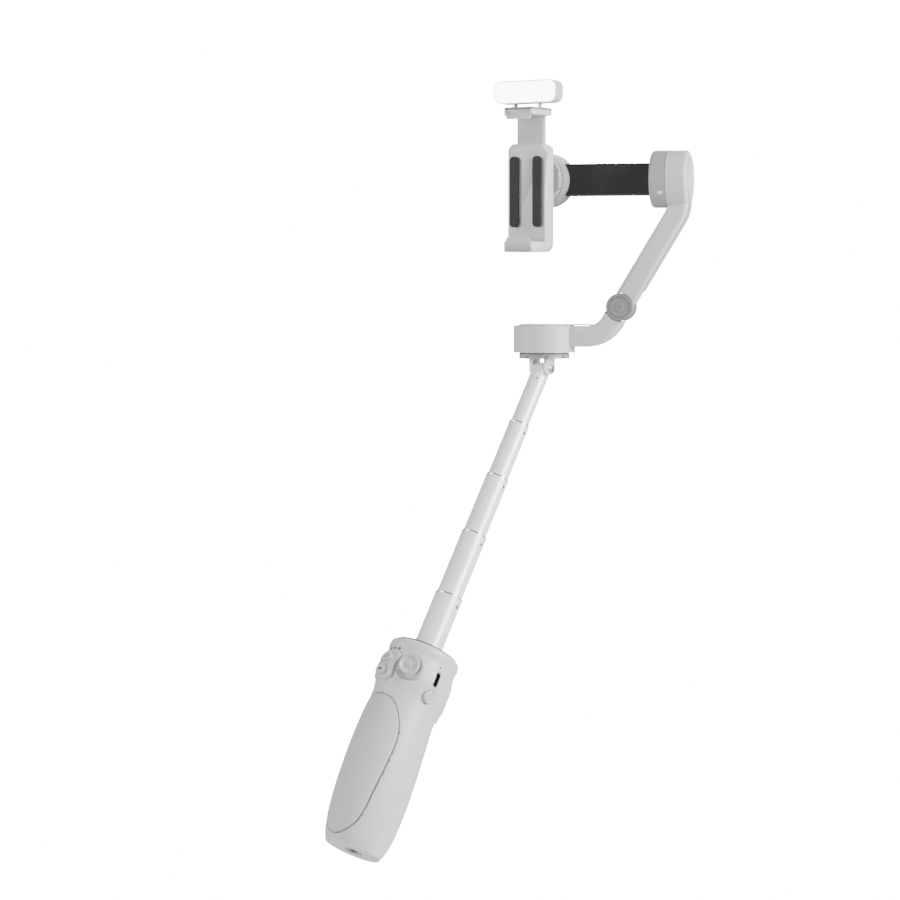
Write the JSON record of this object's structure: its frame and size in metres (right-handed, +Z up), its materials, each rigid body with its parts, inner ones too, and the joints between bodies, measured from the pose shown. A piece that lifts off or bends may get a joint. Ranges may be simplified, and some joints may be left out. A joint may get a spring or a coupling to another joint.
{
  "type": "gimbal stabilizer",
  "caption": "Phone gimbal with grip handle, joystick, telescoping rod, pan, tilt and roll motors on a folding arm, spring phone clamp and a clip-on fill light.",
  "frame": {"origin": "mouth of the tripod thread in the handle's base, on the thread's axis", "axes": "+X along the long side of a held phone, +Y away from the user, +Z up with the phone clamp level"},
  "size_m": [0.1539, 0.2246, 0.4717],
  "materials": {
    "shell": "satin, light warm grey",
    "grip": "fine matte texture, a little darker than the shell",
    "trim": "satin mid grey",
    "pad": "satin light grey",
    "dark": "matte near black",
    "jaw_dark": "speckled dark grey",
    "motor": "satin grey",
    "inlay": "satin light grey with grooves",
    "knuckle": "matte mid grey",
    "rod": "bright silver, polished along the tube",
    "steel": "plain steel",
    "winding": "copper windings",
    "magnet": "nickel-plated magnets",
    "board": "green circuit board",
    "cell_wrap": "blue shrink wrap",
    "lens": "small clear lenses",
    "rubber_pad": "soft black rubber",
    "diffuser": "milky white diffuser",
    "contact": "bright contact feet"
  },
  "bodies": {
    "handle": {"handle_shell": "shell", "grip_panel": "grip", "top_ring": "trim", "base_cap": "dark", "tripod_insert": "steel", "rear_cover": "shell", "cover_screws": "steel", "rod_guide": "dark", "battery_cell": "cell_wrap", "inner_frame": "dark", "main_board": "board", "usb_c_port": "steel", "charge_light": "lens", "status_lights": "lens", "control_pad": "pad", "joystick_skirt": "trim", "trigger_pin": "steel"},
    "joystick_pivot": {"joystick_cross": "dark"},
    "joystick": {"joystick_cap": "trim"},
    "mode_key": {"mode_button": "shell"},
    "record_key": {"record_button": "shell"},
    "power_key": {"power_button": "trim"},
    "zoom_key": {"zoom_rocker": "trim"},
    "trigger": {"trigger": "shell"},
    "stage_a": {"tube_a": "rod"},
    "stage_b": {"tube_b": "rod"},
    "stage_c": {"tube_c": "rod"},
    "stage_d": {"tube_d": "rod"},
    "stage_e": {"tube_e": "rod", "rod_knuckle": "rod"},
    "head_yoke": {"yoke": "rod", "hinge_pin": "steel", "pan_base_ring": "dark", "pan_shaft": "steel", "pan_stator": "winding"},
    "lower_arm_body": {"lower_arm": "shell", "pan_top_inlay": "inlay", "pan_bearing": "steel", "pan_magnets": "magnet", "outer_knuckle": "knuckle", "fold_pin": "steel"},
    "upper_arm_body": {"upper_arm": "shell", "arm_inlay": "inlay", "middle_knuckle": "knuckle", "tilt_bearing": "steel", "tilt_stator": "winding"},
    "tilt_body": {"tilt_rotor": "motor", "tilt_bracket": "dark", "roll_housing": "motor", "roll_stator": "winding"},
    "clamp_body": {"roll_rotor": "motor", "clamp_plate": "shell", "clamp_pads": "rubber_pad", "clamp_spring": "steel"},
    "upper_jaw_body": {"upper_jaw": "shell", "jaw_cover": "jaw_dark"},
    "fill_light": {"light_housing": "shell", "light_diffuser": "diffuser", "light_board": "board", "light_feet": "contact"}
  },
  "joints": [
    {"name": "slide_a", "type": "slide", "parent": "handle", "child": "stage_a", "axis": [0.1282, 0.5142, 0.848], "range_m": [-0.03675, 0]},
    {"name": "slide_b", "type": "slide", "parent": "stage_a", "child": "stage_b", "axis": [0.1282, 0.5142, 0.848], "range_m": [-0.04175, 0]},
    {"name": "slide_c", "type": "slide", "parent": "stage_b", "child": "stage_c", "axis": [0.1282, 0.5142, 0.848], "range_m": [-0.03925, 0]},
    {"name": "slide_d", "type": "slide", "parent": "stage_c", "child": "stage_d", "axis": [0.1282, 0.5142, 0.848], "range_m": [-0.03725, 0]},
    {"name": "slide_e", "type": "slide", "parent": "stage_d", "child": "stage_e", "axis": [0.1282, 0.5142, 0.848], "range_m": [-0.02, 0]},
    {"name": "head_hinge", "type": "hinge", "parent": "stage_e", "child": "head_yoke", "pos_m": [0.04091, 0.16407, 0.28288], "axis": [0.9703, -0.2419, 0], "range_deg": [-32, 43]},
    {"name": "pan", "type": "hinge", "parent": "head_yoke", "child": "lower_arm_body", "pos_m": [0.04144, 0.16621, 0.30188], "axis": [0, 0, 1], "range_deg": [-120, 120]},
    {"name": "arm_fold", "type": "hinge", "parent": "lower_arm_body", "child": "upper_arm_body", "pos_m": [0.08902, 0.17985, 0.32188], "axis": [-0.2756, 0.9613, 0], "range_deg": [0, 75]},
    {"name": "tilt", "type": "hinge", "parent": "upper_arm_body", "child": "tilt_body", "pos_m": [0.11738, 0.18798, 0.40188], "axis": [0.9613, 0.2756, 0], "range_deg": [-106, 106]},
    {"name": "roll", "type": "hinge", "parent": "tilt_body", "child": "clamp_body", "pos_m": [0.04144, 0.15861, 0.40188], "axis": [0, 1, 0], "range_deg": [-170, 170]},
    {"name": "jaw_slide", "type": "slide", "parent": "clamp_body", "child": "upper_jaw_body", "axis": [0, 0, 1], "range_m": [-0.015, 0.008], "deforming": ["clamp_spring"]},
    {"name": "light_pull", "type": "slide", "parent": "upper_jaw_body", "child": "fill_light", "axis": [0, 0, 1], "range_m": [0, 0.012]},
    {"name": "joystick_up_down", "type": "hinge", "parent": "handle", "child": "joystick_pivot", "pos_m": [0.01961, 0.03458, 0.10637], "axis": [0.9345, 0.2237, -0.2769], "range_deg": [-10, 10], "stiffness_Nm_per_rad": 0.03},
    {"name": "joystick_left_right", "type": "hinge", "parent": "joystick_pivot", "child": "joystick", "pos_m": [0.01961, 0.03458, 0.10637], "axis": [0.1282, 0.5142, 0.848], "range_deg": [-10, 10], "stiffness_Nm_per_rad": 0.03},
    {"name": "mode_press", "type": "slide", "parent": "handle", "child": "mode_key", "axis": [0.4338, 0.7399, -0.5142], "range_m": [0, 0.0008], "stiffness_N_per_m": 1000},
    {"name": "record_press", "type": "slide", "parent": "handle", "child": "record_key", "axis": [0.4338, 0.7399, -0.5142], "range_m": [0, 0.0008], "stiffness_N_per_m": 1000},
    {"name": "power_press", "type": "slide", "parent": "handle", "child": "power_key", "axis": [-0.9703, 0.2419, 0], "range_m": [0, 0.0006], "stiffness_N_per_m": 1000},
    {"name": "zoom_rock", "type": "hinge", "parent": "handle", "child": "zoom_key", "pos_m": [-0.00702, 0.05243, 0.09662], "axis": [0.2052, 0.8229, -0.5299], "range_deg": [-6, 6], "stiffness_Nm_per_rad": 0.2},
    {"name": "trigger_pull", "type": "hinge", "parent": "handle", "child": "trigger", "pos_m": [0.01687, 0.06765, 0.08685], "axis": [-0.9703, 0.2419, 0], "range_deg": [0, 8], "stiffness_Nm_per_rad": 0.3}
  ]
}
